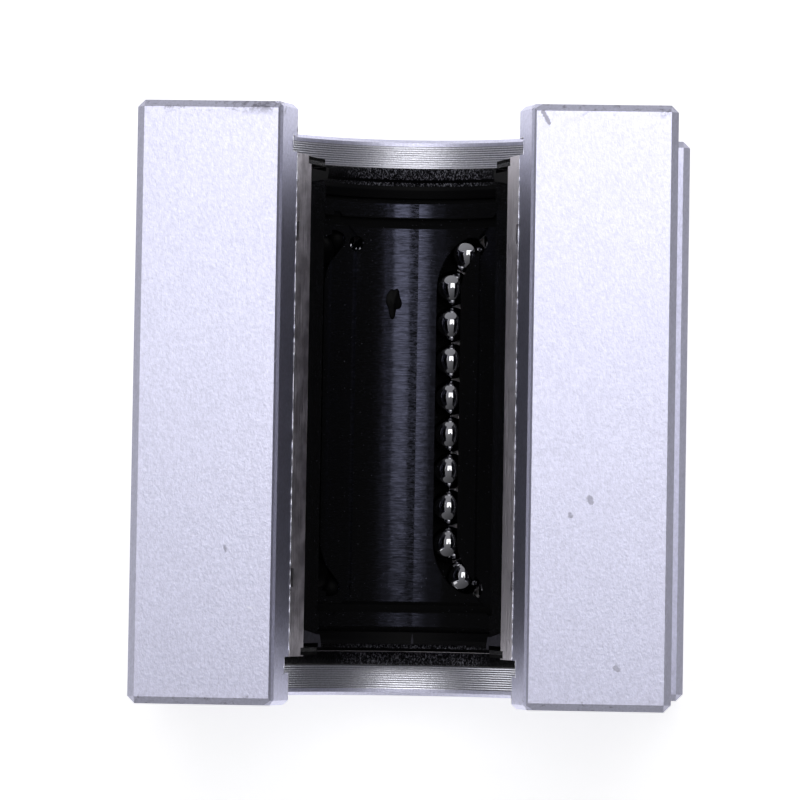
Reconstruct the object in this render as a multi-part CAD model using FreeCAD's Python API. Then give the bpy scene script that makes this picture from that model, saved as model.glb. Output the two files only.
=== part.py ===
import FreeCAD, Part
import math
import os

# Open linear bearing block for a 20 mm supported shaft.
#
# An extruded aluminium block carries a recirculating ball bearing whose steel sleeve is cut open
# along its length, so that the block can pass the posts that hold the shaft up. Four circuits of
# loose balls run in a moulded retainer: each rolls along a loaded row, where the balls stand out of
# a window and touch the shaft, then turns round and comes back through a deeper, covered row.
#
# Millimetres and degrees. X runs across the block, Y along the shaft and Z up. The origin is the
# centre of the mounting face, which lies at Z = 0, and the slot opens upwards.

os.makedirs("parts", exist_ok=True)

# ---- Driving dimensions ------------------------------------------------------------------------

# Block
block_length = 50.0
block_height = 39.0
flange_width = 48.0
flange_thickness = 9.0
body_width = 44.8
shaft_height = 23.0
slot_mouth = 20.9
slot_flank_angle = 22.0
edge_chamfer = 0.6
inner_edge_chamfer = 0.4
bore_chamfer = 0.3

# Tapped holes in the mounting face, M6
mount_spacing_x = 35.0
mount_spacing_y = 35.0
mount_tap_drill = 5.0
mount_hole_depth = 12.0
mount_sink_diameter = 6.3
drill_point_angle = 118.0
sink_angle = 120.0

# Open retaining rings in the block's bore
ring_groove_depth = 0.85
ring_groove_width = 1.3
ring_thickness = 1.2
ring_height = 2.8
ring_end_setback = 0.5

# Adjusting screw, M5 with a hexagon socket, in the side wall
screw_thread = 5.0
screw_sink_diameter = 5.6
screw_length = 5.0
screw_socket = 2.5
screw_socket_depth = 2.2
screw_point_diameter = 2.6
screw_chamfer = 0.5

# Bearing
shaft_diameter = 20.0
sleeve_length = 42.0
sleeve_wall = 2.78
sleeve_chamfer = 0.4
sleeve_groove_spacing = 28.9
sleeve_groove_width = 1.6
sleeve_groove_depth = 0.75
sleeve_setback = 0.1

# Ball circuits
ball_diameter = 3.175
circuit_places = 5
row_length = 22.0
row_spacing_angle = 41.4
return_row_rise = 0.9
turn_bulge = 1.25

# Retainer
retainer_shaft_gap = 0.45
retainer_setback = 0.25
retainer_end_slant = 0.4
collar_length = 1.75
collar_shaft_gap = 0.25
collar_bevel = 0.45
relief_length = 0.9
relief_depth = 0.3
rib_groove_angle = 38.5
rib_groove_width = 2.7
rib_groove_depth = 0.2
rib_groove_setback = 1.35
rib_groove_taper = 2.0
vent_diameter = 1.3
vent_angle = -31.0
vent_place = 15.1

# Seals and side rings
seal_width = 1.05
seal_web_width = 1.1
seal_lip_height = 0.5
seal_lip_width = 0.35
seal_lip_relief = 0.25
seal_setback = 0.1
side_ring_width = 0.6
side_ring_shaft_gap = 0.7
side_ring_groove_depth = 0.5
side_ring_inset = 0.1

# Clearances
fit_gap = 0.02
race_play = 0.025
ball_play = 0.05
ball_spacing_play = 0.05
relief_play = 0.0125
seat_gap = 0.05
thread_gap = 0.05

# Largest error in a ball's place along its track, and in a cut that grazes the track's turns
travel_accuracy = 1e-6
cut_tolerance = 1e-5

# ---- Derived values ----------------------------------------------------------------------------

shaft_radius = shaft_diameter / 2
ball_radius = ball_diameter / 2
sleeve_inner_radius = shaft_radius + ball_diameter + race_play
sleeve_outer_radius = sleeve_inner_radius + sleeve_wall
sleeve_end = sleeve_length / 2
bore_radius = sleeve_outer_radius + fit_gap
ring_groove_radius = bore_radius + ring_groove_depth
load_row_radius = shaft_radius + ball_radius
return_row_radius = load_row_radius + return_row_rise
circuit_step = 360.0 / circuit_places
circuit_angles = [(place - circuit_places / 2 + 1) * circuit_step for place in range(circuit_places - 1)]
side_ring_end = sleeve_end - side_ring_inset
side_ring_seat = side_ring_end - side_ring_width - fit_gap
seal_far = side_ring_seat - fit_gap
seal_near = seal_far - seal_width
retainer_end = seal_near - seat_gap
retainer_inner_radius = shaft_radius + retainer_shaft_gap
collar_radius = shaft_radius + collar_shaft_gap
retainer_rim_radius = collar_radius + collar_bevel
liner_outer_radius = sleeve_inner_radius - seat_gap
through = 2 * block_length
overrun = ball_radius
tan_flank = math.tan(math.radians(slot_flank_angle))


# ---- Shared helpers ----------------------------------------------------------------------------

def at(radius, angle, y):
    """Point round the shaft axis; the angle counts from straight down towards +X."""
    turn = math.radians(angle)
    return FreeCAD.Vector(radius * math.sin(turn), y, shaft_height - radius * math.cos(turn))


def radial(angle):
    """Unit vector out from the shaft axis at an angle."""
    return (at(1.0, angle, 0.0) - at(0.0, angle, 0.0)).normalize()


def bar(radius, y_from, y_to):
    """Round bar on the shaft axis."""
    return Part.makeCylinder(radius, y_to - y_from, at(0, 0, y_from), FreeCAD.Vector(0, 1, 0))


def ring(inner, outer, y_from, y_to):
    """Square-edged ring on the shaft axis."""
    return bar(outer, y_from, y_to).cut(bar(inner, y_from - overrun, y_to + overrun))


def turned(profile):
    """Ring turned from a closed outline of (radius, y) points."""
    points = [at(radius, 0, y) for radius, y in profile]
    face = Part.Face(Part.makePolygon(points + points[:1]))
    return face.revolve(at(0, 0, 0), FreeCAD.Vector(0, 1, 0), 360)


def prism(outline, y_from, y_to):
    """Solid between two planes across the shaft, from (x, z) points."""
    points = [FreeCAD.Vector(x, y_from, z) for x, z in outline]
    face = Part.Face(Part.makePolygon(points + points[:1]))
    return face.extrude(FreeCAD.Vector(0, y_to - y_from, 0))


def slot_half_width(z, setback=0.0):
    """Half the slot's width at a height; its flanks lean in towards the bore."""
    return slot_mouth / 2 + setback - (block_height - z) * tan_flank


def slot_floor():
    """Height where the slot is as wide as a third of the shaft, or the shaft axis if that is higher."""
    depth = (slot_mouth / 2 - shaft_radius / 3) / tan_flank
    return max(block_height - depth, shaft_height)


def slot_outline(setback=0.0):
    """The slot's section, from above the block down into the space for the shaft."""
    top = block_height + bore_radius
    floor = slot_floor()
    wide = slot_half_width(top, setback)
    narrow = slot_half_width(floor, setback)
    return [(-narrow, floor), (narrow, floor), (wide, top), (-wide, top)]


def slot_wedge(setback=0.0):
    """The slot as a solid that runs past both ends of the block."""
    return prism(slot_outline(setback), -through / 2, through / 2)


def opened(shape, setback):
    """A ring of the bearing with the slot cut through it."""
    return shape.cut(slot_wedge(setback))


def mirrored_end(shape, side):
    """A piece of the rear end, or its mirror image for the front end."""
    if side > 0:
        return shape
    return shape.mirror(FreeCAD.Vector(0, 0, 0), FreeCAD.Vector(0, 1, 0))


# ---- Housing -----------------------------------------------------------------------------------

def chamfered_slab(width, height):
    """Full-length slab on the mounting face with its long edges and corners broken."""
    slab = Part.makeBox(width, block_length, height, FreeCAD.Vector(-width / 2, -block_length / 2, 0))
    return slab.makeChamfer(edge_chamfer, slab.Edges)


def slot_end_flare(side):
    """Tool that breaks the edges between the slot's flanks and one end face."""
    wires = []
    for reach in (-inner_edge_chamfer, overrun):
        y = side * (block_length / 2 + reach)
        points = [FreeCAD.Vector(x, y, z) for x, z in slot_outline(inner_edge_chamfer + reach)]
        wires.append(Part.makePolygon(points + points[:1]))
    return Part.makeLoft(wires, True)


def slot_top_flare():
    """Tool that breaks the edges between the slot's flanks and the top."""
    low = block_height - inner_edge_chamfer
    high = block_height + overrun
    narrow = slot_half_width(low)
    wide = narrow + high - low
    return prism([(-narrow, low), (narrow, low), (wide, high), (-wide, high)], -through / 2, through / 2)


def countersink(hole_diameter, mouth_diameter, base, direction):
    """Cone that opens a hole's mouth."""
    height = (mouth_diameter - hole_diameter) / 2 / math.tan(math.radians(sink_angle / 2))
    return Part.makeCone(mouth_diameter / 2, hole_diameter / 2, height, base, direction)


def drilled_hole(diameter, depth, base, direction):
    """Blind drilled hole with a cone at its floor."""
    radius = diameter / 2
    point = radius / math.tan(math.radians(drill_point_angle / 2))
    shank = Part.makeCylinder(radius, depth, base, direction)
    return shank.fuse(Part.makeCone(radius, 0, point, base + direction * depth, direction))


def mounting_holes():
    """Four blind tapped holes in the mounting face, countersunk for their screws."""
    up = FreeCAD.Vector(0, 0, 1)
    holes = []
    for x in (-mount_spacing_x / 2, mount_spacing_x / 2):
        for y in (-mount_spacing_y / 2, mount_spacing_y / 2):
            place = FreeCAD.Vector(x, y, 0)
            holes.append(drilled_hole(mount_tap_drill, mount_hole_depth, place, up))
            holes.append(countersink(mount_tap_drill, mount_sink_diameter, place, up))
    return holes


def bore_tools():
    """The bearing's bore, its broken mouths and the two retaining ring grooves."""
    half = block_length / 2
    tools = [bar(bore_radius, -half - overrun, half + overrun)]
    for side in (-1, 1):
        inwards = FreeCAD.Vector(0, -side, 0)
        wide = bore_radius + bore_chamfer
        mouth = Part.makeCone(wide, bore_radius, bore_chamfer, at(0, 0, side * half), inwards)
        near = side * sleeve_end
        far = side * (sleeve_end + ring_groove_width)
        tools.append(mouth)
        tools.append(bar(ring_groove_radius, min(near, far), max(near, far)))
    return tools


def screw_hole():
    """Threaded hole through the side wall, square to the bore."""
    start = FreeCAD.Vector(shaft_radius, 0, shaft_height)
    mouth = FreeCAD.Vector(body_width / 2, 0, shaft_height)
    out = FreeCAD.Vector(1, 0, 0)
    hole = Part.makeCylinder(screw_thread / 2, body_width / 2 - shaft_radius, start, out)
    return hole.fuse(countersink(screw_thread, screw_sink_diameter, mouth, -out))


def housing():
    """Flange and body, slotted, chamfered, bored and drilled."""
    body = chamfered_slab(body_width, block_height)
    flange = chamfered_slab(flange_width, flange_thickness)
    block = body.fuse(flange).removeSplitter()
    slot = slot_wedge().fuse([slot_top_flare(), slot_end_flare(-1), slot_end_flare(1)])
    return block.cut(slot).cut(bore_tools() + mounting_holes() + [screw_hole()])


# ---- Ball track --------------------------------------------------------------------------------

def row_point(circuit, side, returning):
    """Rear or front end of a row: the loaded row, or the deeper return row beside it."""
    if returning:
        return at(return_row_radius, circuit + row_spacing_angle / 2, side * row_length / 2)
    return at(load_row_radius, circuit - row_spacing_angle / 2, side * row_length / 2)


def turn_centre(circuit, side):
    """Centre of both quarter turns: it stands out from the middle of the line between the rows."""
    loaded = row_point(circuit, side, False)
    returned = row_point(circuit, side, True)
    outward = (returned - loaded).cross(FreeCAD.Vector(0, 1, 0)).normalize()
    return (loaded + returned) / 2 - outward * turn_bulge


def turn_radius(circuit):
    """Radius of the quarter turns, from a row's end to the shared centre."""
    return (row_point(circuit, 1, False) - turn_centre(circuit, 1)).Length


def track_point(circuit, side, theta):
    """Ball centre on a turn: theta runs from 0 on the loaded row to 180 on the return row."""
    centre = turn_centre(circuit, side)
    arm = row_point(circuit, side, theta > 90) - centre
    lift = side * turn_radius(circuit) * math.sin(math.radians(theta))
    return centre + arm * abs(math.cos(math.radians(theta))) + FreeCAD.Vector(0, lift, 0)


def quarter_turn(circuit, side, returning, radius):
    """Round channel from a row's end to the top of the turn."""
    start = row_point(circuit, side, returning)
    centre = turn_centre(circuit, side)
    along = FreeCAD.Vector(0, side, 0)
    section = Part.Face(Part.Wire(Part.makeCircle(radius, start, along)))
    return section.revolve(centre, (start - centre).cross(along), 90)


def row_tube(circuit, returning, radius):
    """Round channel along a straight row."""
    start = row_point(circuit, -1, returning)
    return Part.makeCylinder(radius, row_length, start, FreeCAD.Vector(0, 1, 0))


def closed_track(circuit, radius):
    """The whole channel of one circuit; balls join the quarter turns, which meet at a slant."""
    tubes = [row_tube(circuit, True, radius)]
    for side in (-1, 1):
        tubes.append(quarter_turn(circuit, side, False, radius))
        tubes.append(quarter_turn(circuit, side, True, radius))
        tubes.append(Part.makeSphere(radius, track_point(circuit, side, 90)))
    return row_tube(circuit, False, radius).fuse(tubes)


# ---- Balls -------------------------------------------------------------------------------------

def half_track_point(circuit, travel):
    """Ball centre on the rear half of the track, by the distance from the loaded row's middle."""
    straight = row_length / 2
    turn_length = math.pi * turn_radius(circuit)
    if travel < straight:
        return track_point(circuit, 1, 0) - FreeCAD.Vector(0, straight - travel, 0)
    if travel < straight + turn_length:
        return track_point(circuit, 1, 180 * (travel - straight) / turn_length)
    return track_point(circuit, 1, 180) - FreeCAD.Vector(0, travel - straight - turn_length, 0)


def next_travel(circuit, travel, spacing):
    """Travel at which the next ball's centre is one spacing away from this one's."""
    here = half_track_point(circuit, travel)
    low = travel
    high = travel + 2 * spacing
    while high - low > travel_accuracy:
        middle = (low + high) / 2
        if (half_track_point(circuit, middle) - here).Length < spacing:
            low = middle
        else:
            high = middle
    return low


def half_circuit(circuit, spacing, count):
    """Travels of the balls on the rear half, the first half a spacing from the middle."""
    travels = [spacing / 2]
    while len(travels) < count:
        travels.append(next_travel(circuit, travels[-1], spacing))
    return travels


def ball_travels(circuit):
    """Evenly spaced travels that close the loop with as many balls as it holds."""
    half_length = row_length + math.pi * turn_radius(circuit)
    count = int(half_length / (ball_diameter + ball_spacing_play))
    low = ball_diameter / 2
    high = ball_diameter * 2
    while high - low > travel_accuracy:
        spacing = (low + high) / 2
        last = half_circuit(circuit, spacing, count)[-1]
        if last + spacing / 2 < half_length:
            low = spacing
        else:
            high = spacing
    return half_circuit(circuit, low, count)


def ball_circuit(circuit):
    """All balls of one circuit, the front half mirroring the rear half."""
    balls = []
    for travel in ball_travels(circuit):
        centre = half_track_point(circuit, travel)
        balls.append(Part.makeSphere(ball_radius, centre))
        balls.append(Part.makeSphere(ball_radius, FreeCAD.Vector(centre.x, -centre.y, centre.z)))
    return Part.makeCompound(balls)


# ---- Sleeve ------------------------------------------------------------------------------------

def sleeve_blank():
    """Turned ring with broken outer edges, circlip grooves outside and seats inside."""
    outer = sleeve_outer_radius
    blank = turned([
        (sleeve_inner_radius, -sleeve_end),
        (outer - sleeve_chamfer, -sleeve_end),
        (outer, -sleeve_end + sleeve_chamfer),
        (outer, sleeve_end - sleeve_chamfer),
        (outer - sleeve_chamfer, sleeve_end),
        (sleeve_inner_radius, sleeve_end),
    ])
    cuts = []
    for side in (-1, 1):
        middle = side * sleeve_groove_spacing / 2
        half = sleeve_groove_width / 2
        cuts.append(ring(outer - sleeve_groove_depth, outer + overrun, middle - half, middle + half))
        seat = bar(sleeve_inner_radius + side_ring_groove_depth, side_ring_seat, side_ring_end + fit_gap)
        cuts.append(mirrored_end(seat, side))
    return blank.cut(cuts)


def bearing_sleeve():
    """Hardened outer cylinder, relieved for the return rows and turns, then slit open."""
    sleeve = sleeve_blank()
    for circuit in circuit_angles:
        sleeve = sleeve.cut(closed_track(circuit, ball_radius + relief_play))
    return opened(sleeve, sleeve_setback)


# ---- Retainer ----------------------------------------------------------------------------------

def retainer_blank():
    """Turned ring with a collar and a relief at each end of its bore, and slanted ends."""
    bore = retainer_inner_radius
    flat_end = retainer_end - collar_length - relief_length
    collar_start = retainer_end - collar_length
    bevel_start = retainer_end - collar_bevel
    rear = [
        (bore, flat_end),
        (bore + relief_depth, flat_end + relief_depth),
        (bore + relief_depth, collar_start),
        (collar_radius, collar_start),
        (collar_radius, bevel_start),
        (retainer_rim_radius, retainer_end),
        (liner_outer_radius, retainer_end - retainer_end_slant),
    ]
    front = [(radius, -y) for radius, y in reversed(rear)]
    return turned(front + rear)


def rib_groove(angle):
    """Shallow lengthwise groove in the retainer's bore; its inner side slants away at both ends."""
    half_length = retainer_end - rib_groove_setback
    half_width = rib_groove_width / 2
    inner_corner = half_width - rib_groove_taper
    outline = [
        (-half_width, -half_length),
        (inner_corner, -half_length),
        (half_width, -half_length + rib_groove_taper),
        (half_width, half_length - rib_groove_taper),
        (inner_corner, half_length),
        (-half_width, half_length),
    ]
    inwards = FreeCAD.Vector(0, 1, 0).cross(radial(angle)) * math.copysign(1, angle)
    floor = at(retainer_inner_radius + rib_groove_depth, angle, 0)
    points = [floor + inwards * x + FreeCAD.Vector(0, y, 0) for x, y in outline]
    face = Part.Face(Part.makePolygon(points + points[:1]))
    return face.extrude(radial(angle) * -(rib_groove_depth + overrun))


def vent():
    """Small hole through the wall over one turn."""
    start = at(shaft_radius, vent_angle, vent_place)
    return Part.makeCylinder(vent_diameter / 2, ball_radius, start, radial(vent_angle))


def ball_retainer():
    """Moulded cage with four closed tracks; the loaded rows break through into the bore."""
    retainer = opened(retainer_blank(), retainer_setback)
    for circuit in circuit_angles:
        retainer = retainer.cut(closed_track(circuit, ball_radius + ball_play))
    grooves = [rib_groove(-rib_groove_angle), rib_groove(rib_groove_angle)]
    return retainer.cut([vent()] + grooves, cut_tolerance)


# ---- Seals, rings and screw ----------------------------------------------------------------------

def end_seal(side):
    """Rubber ring of L section: a web against the retainer's slanted end and a lip that wipes the shaft."""
    web_near = seal_near - retainer_end_slant
    seal = turned([
        (liner_outer_radius, web_near),
        (liner_outer_radius, web_near + seal_web_width),
        (shaft_radius + seal_lip_height, web_near + seal_web_width),
        (shaft_radius + seal_lip_height, seal_far),
        (shaft_radius, seal_far),
        (shaft_radius, seal_far - seal_lip_width),
        (shaft_radius + seal_lip_relief, seal_near),
        (retainer_rim_radius, seal_near),
    ])
    return mirrored_end(opened(seal, seal_setback), side)


def side_ring(side):
    """Steel ring sprung into the sleeve's groove behind the seal."""
    outer = sleeve_inner_radius + side_ring_groove_depth - seat_gap
    inner = shaft_radius + side_ring_shaft_gap
    band = ring(inner, outer, side_ring_end - side_ring_width, side_ring_end)
    return mirrored_end(opened(band, seal_setback), side)


def retaining_ring(side):
    """Open ring in the housing's groove, against the end of the sleeve."""
    near = sleeve_end + (ring_groove_width - ring_thickness) / 2
    outer = ring_groove_radius - seat_gap
    band = ring(outer - ring_height, outer, near, near + ring_thickness)
    return mirrored_end(opened(band, ring_end_setback), side)


def adjusting_screw():
    """Set screw with a hexagon socket and a cone point that bears on the sleeve."""
    radius = screw_thread / 2 - thread_gap
    tip = screw_point_diameter / 2
    start = sleeve_outer_radius + seat_gap
    end = start + screw_length
    outline = [
        (start, 0),
        (start, tip),
        (start + radius - tip, radius),
        (end - screw_chamfer, radius),
        (end, radius - screw_chamfer),
        (end, 0),
    ]
    points = [FreeCAD.Vector(x, 0, shaft_height + r) for x, r in outline]
    face = Part.Face(Part.makePolygon(points + points[:1]))
    body = face.revolve(at(0, 0, 0), FreeCAD.Vector(1, 0, 0), 360)
    corners = [hexagon_corner(end, corner) for corner in range(6)]
    socket = Part.Face(Part.makePolygon(corners + corners[:1]))
    return body.cut(socket.extrude(FreeCAD.Vector(-screw_socket_depth, 0, 0)))


def hexagon_corner(x, corner):
    """Corner of the socket's hexagon, across flats as its key."""
    radius = screw_socket / 2 / math.cos(math.radians(30))
    turn = math.radians(60 * corner)
    return FreeCAD.Vector(x, radius * math.sin(turn), shaft_height + radius * math.cos(turn))


# ---- Export --------------------------------------------------------------------------------------

def save(node, shape):
    """Write one sub-part."""
    shape.exportStep(f"parts/{node}.step")


save("housing", housing())
save("bearing_sleeve", bearing_sleeve())
save("ball_retainer", ball_retainer())
for number, circuit in enumerate(circuit_angles, start=1):
    save(f"ball_circuit_{number}", ball_circuit(circuit))
for end, side in (("front", -1), ("rear", 1)):
    save(f"end_seal_{end}", end_seal(side))
    save(f"side_ring_{end}", side_ring(side))
    save(f"retaining_ring_{end}", retaining_ring(side))
save("adjusting_screw", adjusting_screw())
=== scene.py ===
# %% [markdown]
# # Open linear bearing block
#
# An aluminium block carries a slit ball bearing that slides along a supported 20 mm shaft. The
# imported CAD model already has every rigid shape, so this lesson is mostly about finishes: blasted
# and anodised aluminium, a bore with turning lines, ground steel, oily black plastic, polished
# balls and blackened spring rings. A few small things are modelled here as well: the two retaining
# rings, screw threads, burrs and a dab of old grease.
#
# Everything is in metres, in the CAD model's own frame: X runs across the block, Y along the shaft
# and Z up from the mounting face.

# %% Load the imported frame
import math
import random

import bmesh
import bpy
from mathutils import Matrix, Vector


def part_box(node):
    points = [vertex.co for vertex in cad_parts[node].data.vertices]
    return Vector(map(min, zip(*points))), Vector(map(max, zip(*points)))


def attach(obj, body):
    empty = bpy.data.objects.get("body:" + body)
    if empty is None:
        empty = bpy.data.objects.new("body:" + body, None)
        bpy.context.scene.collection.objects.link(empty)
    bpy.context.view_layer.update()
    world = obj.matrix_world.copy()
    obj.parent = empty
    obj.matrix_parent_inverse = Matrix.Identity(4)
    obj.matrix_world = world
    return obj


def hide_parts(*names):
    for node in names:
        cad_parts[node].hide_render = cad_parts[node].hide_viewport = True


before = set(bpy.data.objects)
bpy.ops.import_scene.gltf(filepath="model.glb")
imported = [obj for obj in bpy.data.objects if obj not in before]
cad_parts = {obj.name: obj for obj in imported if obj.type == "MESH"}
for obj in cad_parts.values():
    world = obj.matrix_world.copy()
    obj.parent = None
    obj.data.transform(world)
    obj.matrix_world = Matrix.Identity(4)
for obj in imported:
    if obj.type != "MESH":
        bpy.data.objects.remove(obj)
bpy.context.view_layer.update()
MM = 0.001
print("nodes:", sorted(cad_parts))

# %% [markdown]
# ## Measures
#
# The looks follow the real sizes, so the few that they need are read from the solids. The slot is
# on the block's middle plane, and its flanks lean 22 degrees. The shaft's own size isn't in any
# solid, so it is written down, and so are the slot's width at the top and its lean.

# %% Sizes taken from the solids
block_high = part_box("housing")[1]
sleeve_low, sleeve_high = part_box("bearing_sleeve")
half_length = block_high[1]
block_top = block_high[2]
sleeve_fit = 0.02 * MM
bore_radius = sleeve_high[0] + sleeve_fit
axis_height = sleeve_low[2] + sleeve_high[0]
shaft_radius = 10.0 * MM
slot_half_width = 10.45 * MM
flank_slope = math.tan(math.radians(22.0))
print(f"bore radius {bore_radius / MM:.2f} mm, axis {axis_height / MM:.2f} mm above the face")

# %% [markdown]
# ## Camera
#
# The block is seen from above, almost straight down, a little from the right and from the front.
# A long lens at about 350 mm keeps the two legs nearly parallel but still shows the inside of the
# left one. The turn order ZXY puts the roll first, so each angle reads by itself.

# %% Camera above the slot
camera_data = bpy.data.cameras.new("camera")
camera_data.sensor_width = 36.0
camera_data.lens = 191.3
camera_data.clip_start = 0.01
camera = bpy.data.objects.new("camera", camera_data)
camera.location = (15.77 * MM, -12.70 * MM, 388.62 * MM)
camera.rotation_mode = "ZXY"
camera.rotation_euler = [math.radians(turn) for turn in (2.134, 2.62, 0.937)]
bpy.context.collection.objects.link(camera)
bpy.context.scene.camera = camera
bpy.context.scene.view_settings.view_transform = "Standard"
print("camera height:", round(camera.location.z / MM), "mm")

# %% [markdown]
# ## Building materials
#
# Each finish is a small network of nodes. One helper adds a node, sets its options and fills or
# links its inputs. One function turns a colour that is written as on screen into the linear
# numbers that the renderer works with.
#
# Inputs are given by name, or by number where a node has none that is unique. A map range takes
# "from" in 1 and 2 and gives "to" in 3 and 4. A colour mix takes its two colours in 6 and 7 and
# gives its result in output 2.

# %% Helpers for node networks
def linear(code):
    """Linear RGBA from an sRGB hex colour."""
    parts = [int(code[i:i + 2], 16) / 255 for i in (1, 3, 5)]
    return [c / 12.92 if c <= 0.04045 else ((c + 0.055) / 1.055) ** 2.4 for c in parts] + [1.0]


def add(tree, kind, inputs=None, **settings):
    """Adds a node with its settings; inputs are numbers, colours or another node's output."""
    node = tree.nodes.new(kind)
    for name, value in settings.items():
        setattr(node, name, value)
    for key, value in (inputs or {}).items():
        if isinstance(value, bpy.types.NodeSocket):
            tree.links.new(value, node.inputs[key])
        else:
            node.inputs[key].default_value = value
    return node


def new_material(name):
    """Empty node material, its tree, and a point in millimetres on the object."""
    material = bpy.data.materials.new(name)
    material.use_nodes = True
    tree = material.node_tree
    tree.nodes.clear()
    place = add(tree, "ShaderNodeTexCoord").outputs["Object"]
    point = add(tree, "ShaderNodeVectorMath", {0: place, "Scale": 1 / MM}, operation="SCALE")
    return material, tree, point.outputs[0]


def finish_material(material, tree, **inputs):
    """Closes a network with the principled shader."""
    shader = add(tree, "ShaderNodeBsdfPrincipled", {k.replace("_", " "): v for k,
                                                    v in inputs.items()})
    add(tree, "ShaderNodeOutputMaterial", {"Surface": shader.outputs[0]})
    print("material:", material.name)
    return material


# %% [markdown]
# ## Light
#
# A product table: one soft box hangs above and behind the block, and a smaller one stands low at
# the left. The big box ends just above the camera, so the satin tops fade from the far end to the
# near one, and the bore keeps a bright middle between two dark sides. The room around is a plain
# grey, a little lighter at the back and on the left. It is a world colour graded by direction,
# which is simpler than hanging grey cards on four sides. The radiance of a lamp's face, where 1 is
# white, sets its power.

# %% Grey room, graded by direction
world = bpy.data.worlds.new("grey room")
bpy.context.scene.world = world
world.use_nodes = True
sky = world.node_tree
sky.nodes.clear()
room_level = 0.24
room_lean = (-0.08, 0.15, 0.0)
direction = add(sky, "ShaderNodeTexCoord").outputs["Generated"]
lean = add(sky, "ShaderNodeVectorMath", {0: direction, 1: room_lean}, operation="DOT_PRODUCT")
level = add(sky, "ShaderNodeMath", {0: lean.outputs["Value"], 1: room_level}, operation="ADD")
room = add(sky, "ShaderNodeBackground", {"Color": linear("#fafaff"), "Strength": level.outputs[0]})
add(sky, "ShaderNodeOutputWorld", {"Surface": room.outputs[0]})


# %% Soft boxes
def soft_box(name, place, aim, width, depth, radiance):
    """A rectangular lamp whose face has the given radiance."""
    data = bpy.data.lights.new(name, "AREA")
    data.shape = "RECTANGLE"
    data.size = width
    data.size_y = depth
    data.energy = radiance * math.pi * width * depth
    lamp = bpy.data.objects.new(name, data)
    facing = (Vector(aim) - Vector(place)).to_track_quat("-Z", "Y").to_matrix().to_4x4()
    lamp.matrix_world = Matrix.Translation(place) @ facing
    bpy.context.collection.objects.link(lamp)
    print(f"{name}: {data.energy:.2f} W")


soft_box("top soft box", (0.029, 0.126, 0.45), (0.029, 0.126, 0.0), 0.268, 0.276, 2.36)
soft_box("left soft box", (-0.50, -0.24, 0.25), (0.0, 0.0, 0.02), 0.34, 0.30, 1.0)

# %% [markdown]
# The camera's own body is dark in front of that light. The glossy bore shows it as a thin dark line
# down the middle of its highlight, so a small black card with a camera's outline hangs there. The
# camera doesn't see the card, only the reflections do.

# %% Camera card
card_form = bmesh.new()
outline = [(-17, -24), (17, -24), (18, 6), (24, 40), (27, 90), (-27, 90), (-24, 40), (-18, 6)]
corners = [card_form.verts.new(camera.location + Vector((a * MM, b * MM, 0))) for a, b in outline]
card_form.faces.new(corners)
card_mesh = bpy.data.meshes.new("camera_card")
card_form.to_mesh(card_mesh)
card_form.free()
camera_card = bpy.data.objects.new("camera_card", card_mesh)
bpy.context.collection.objects.link(camera_card)
camera_card.visible_camera = False
camera_card.visible_shadow = False
camera_card.visible_diffuse = False
material, tree, point = new_material("black_card")
card_mesh.materials.append(finish_material(material, tree, Base_Color=linear("#101012"),
                                           Roughness=0.9))

# %% [markdown]
# The floor is white for the camera and in reflections: its paint shows the lamps' light and the
# object's shadow, and a glow that only those rays see lifts the rest of the way to white.

# %% White floor that keeps the shadow
floor_drop = 0.05 * MM
floor_glow = 0.68
floor_mesh = bpy.data.meshes.new("floor")
floor_form = bmesh.new()
bmesh.ops.create_grid(floor_form, x_segments=2, y_segments=2, size=2.0)
bmesh.ops.translate(floor_form, verts=floor_form.verts, vec=(0, 0, -floor_drop))
floor_form.to_mesh(floor_mesh)
floor_form.free()
floor = bpy.data.objects.new("floor", floor_mesh)
bpy.context.collection.objects.link(floor)
material, tree, point = new_material("white_table")
path = add(tree, "ShaderNodeLightPath")
seen = add(tree, "ShaderNodeMath", {0: path.outputs["Is Camera Ray"],
                                    1: path.outputs["Is Glossy Ray"]}, operation="ADD")
seen = add(tree, "ShaderNodeMath", {0: seen.outputs[0], 1: path.outputs["Is Transmission Ray"]},
           operation="ADD", use_clamp=True)
lift = add(tree, "ShaderNodeMath", {0: seen.outputs[0], 1: floor_glow}, operation="MULTIPLY")
paint = add(tree, "ShaderNodeBsdfDiffuse", {"Color": linear("#f4f4f4")})
glow = add(tree, "ShaderNodeEmission", {"Color": linear("#ffffff"), "Strength": lift.outputs[0]})
table_top = add(tree, "ShaderNodeAddShader", {0: paint.outputs[0], 1: glow.outputs[0]})
# Seen from below the table is clear, so that the mounting face can be looked at.
from_below = add(tree, "ShaderNodeNewGeometry").outputs["Backfacing"]
clear = add(tree, "ShaderNodeBsdfTransparent")
table_top = add(tree, "ShaderNodeMixShader", {0: from_below, 1: table_top.outputs[0],
                                              2: clear.outputs[0]})
add(tree, "ShaderNodeOutputMaterial", {"Surface": table_top.outputs[0]})
floor_mesh.materials.append(material)

# %% [markdown]
# ## Anodised aluminium
#
# The block is an extrusion, blasted with fine beads and then anodised clear. Blasting leaves a
# matt skin with a grain of about 0.15 mm, and the anodised layer gives it its cool, slightly
# bluish grey. The bore is turned after that, so its two end lands are bare and bright, with turning
# lines 0.2 mm apart. Both are one material: the distance from the shaft axis says which is which.
# The wear is in the same network: dirt ground into the far edges, a few pits and light scratches.

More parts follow.
